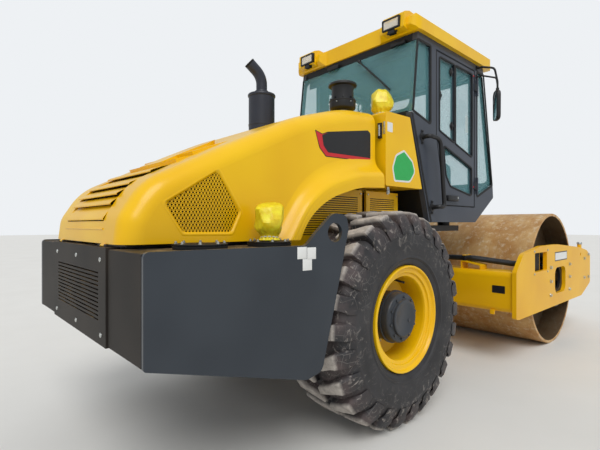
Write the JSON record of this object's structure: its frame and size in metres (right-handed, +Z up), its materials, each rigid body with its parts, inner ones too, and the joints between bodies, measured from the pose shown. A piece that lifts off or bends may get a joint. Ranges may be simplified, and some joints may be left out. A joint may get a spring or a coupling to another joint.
{
  "type": "single-drum soil compactor",
  "caption": "Articulated single-drum soil compactor with a steel drum in a front frame, two lugged rear tyres, a glazed cab and a tilting hood.",
  "frame": {"origin": "on the ground, midway along the machine's length, on its centre plane", "axes": "+X forward from the tail to the drum, +Y to the left, +Z up"},
  "size_m": [6.183, 2.3, 3.2427],
  "materials": {
    "body_enamel": "gloss enamel",
    "grey_enamel": "satin enamel",
    "cab_enamel": "satin enamel",
    "black_enamel": "satin",
    "drum_steel": "weathered, lightly rusted",
    "tyre_rubber": "dusty",
    "hose_rubber": "matte",
    "glass": "clear, faint green",
    "lamp_lens": "ribbed clear",
    "chrome_rod": "polished",
    "interior_plastic": "grained",
    "seat_fabric": "woven",
    "cover_film": "thin film",
    "cast_iron": "painted dark"
  },
  "bodies": {
    "chassis": {"rear_frame": "black_enamel", "side_plates": "grey_enamel", "tanks": "grey_enamel", "rear_grille": "grey_enamel", "deck": "grey_enamel", "deck_hatches": "grey_enamel", "engine_block": "cast_iron", "rear_axle": "cast_iron", "engine_side_panels": "body_enamel", "oil_tank": "body_enamel", "cab_base": "black_enamel", "cab_side_right": "cab_enamel", "cab_side_left": "cab_enamel", "cab_rear": "cab_enamel", "cab_front": "cab_enamel", "cab_glass": "glass", "roof": "body_enamel", "roof_lamps": "lamp_lens", "cab_rails": "black_enamel", "cab_fittings": "interior_plastic", "seat_cushions": "seat_fabric", "rain_covers": "cover_film"},
    "front_frame": {"drum_frame": "body_enamel", "centre_joint": "black_enamel", "drum_carriers": "black_enamel", "scrapers": "body_enamel", "drum_hoses": "hose_rubber"},
    "drum_body": {"drum": "drum_steel"},
    "hood": {"hood_shell": "body_enamel", "hood_mesh": "body_enamel", "hood_louvres": "body_enamel", "exhaust_stack": "black_enamel", "pre_cleaner": "interior_plastic"},
    "wheel_left": {"tyre_left": "tyre_rubber", "rim_left": "body_enamel", "hub_left": "cast_iron"},
    "cab_door_left": {"door_left": "cab_enamel", "door_glass_left": "glass"},
    "steer_cylinder_left": {"steer_barrel_left": "black_enamel"},
    "steer_piston_left": {"steer_rod_left": "chrome_rod"},
    "wheel_right": {"tyre_right": "tyre_rubber", "rim_right": "body_enamel", "hub_right": "cast_iron"},
    "cab_door_right": {"door_right": "cab_enamel", "door_glass_right": "glass"},
    "steer_cylinder_right": {"steer_barrel_right": "black_enamel"},
    "steer_piston_right": {"steer_rod_right": "chrome_rod"}
  },
  "joints": [
    {"name": "centre_steer", "type": "hinge", "parent": "chassis", "child": "front_frame", "pos_m": [0.2165, 0, 0.77], "axis": [0, 0, 1], "range_deg": [-35, 35]},
    {"name": "drum_spin", "type": "hinge", "parent": "front_frame", "child": "drum_body", "pos_m": [1.7665, 0, 0.7615], "axis": [0, 1, 0], "continuous": true},
    {"name": "hood_tilt", "type": "hinge", "parent": "chassis", "child": "hood", "pos_m": [-3.0695, 0, 1.2895], "axis": [0, -1, 0], "range_deg": [0, 60]},
    {"name": "wheel_spin_left", "type": "hinge", "parent": "chassis", "child": "wheel_left", "pos_m": [-1.2835, 0.822, 0.745], "axis": [0, 1, 0], "continuous": true},
    {"name": "door_swing_left", "type": "hinge", "parent": "chassis", "child": "cab_door_left", "pos_m": [0.5085, 0.732, 2.2], "axis": [0, 0, -1], "range_deg": [0, 90]},
    {"name": "cylinder_swing_left", "type": "hinge", "parent": "chassis", "child": "steer_cylinder_left", "pos_m": [-0.3335, 0.28, 0.77], "axis": [0, 0, 1], "range_deg": [-8, 8]},
    {"name": "piston_slide_left", "type": "slide", "parent": "steer_cylinder_left", "child": "steer_piston_left", "axis": [1, 0, 0], "range_m": [-0.19, 0.19]},
    {"name": "wheel_spin_right", "type": "hinge", "parent": "chassis", "child": "wheel_right", "pos_m": [-1.2835, -0.822, 0.745], "axis": [0, 1, 0], "continuous": true},
    {"name": "door_swing_right", "type": "hinge", "parent": "chassis", "child": "cab_door_right", "pos_m": [0.5085, -0.732, 2.2], "axis": [0, 0, 1], "range_deg": [0, 90]},
    {"name": "cylinder_swing_right", "type": "hinge", "parent": "chassis", "child": "steer_cylinder_right", "pos_m": [-0.3335, -0.28, 0.77], "axis": [0, 0, 1], "range_deg": [-8, 8]},
    {"name": "piston_slide_right", "type": "slide", "parent": "steer_cylinder_right", "child": "steer_piston_right", "axis": [1, 0, 0], "range_m": [-0.19, 0.19]}
  ],
  "couplings": [
    {"joint": "cylinder_swing_left", "follows": "centre_steer", "ratio": 0.13},
    {"joint": "piston_slide_left", "follows": "centre_steer", "m_per_rad": -0.27},
    {"joint": "cylinder_swing_right", "follows": "centre_steer", "ratio": 0.13},
    {"joint": "piston_slide_right", "follows": "centre_steer", "m_per_rad": 0.27}
  ]
}
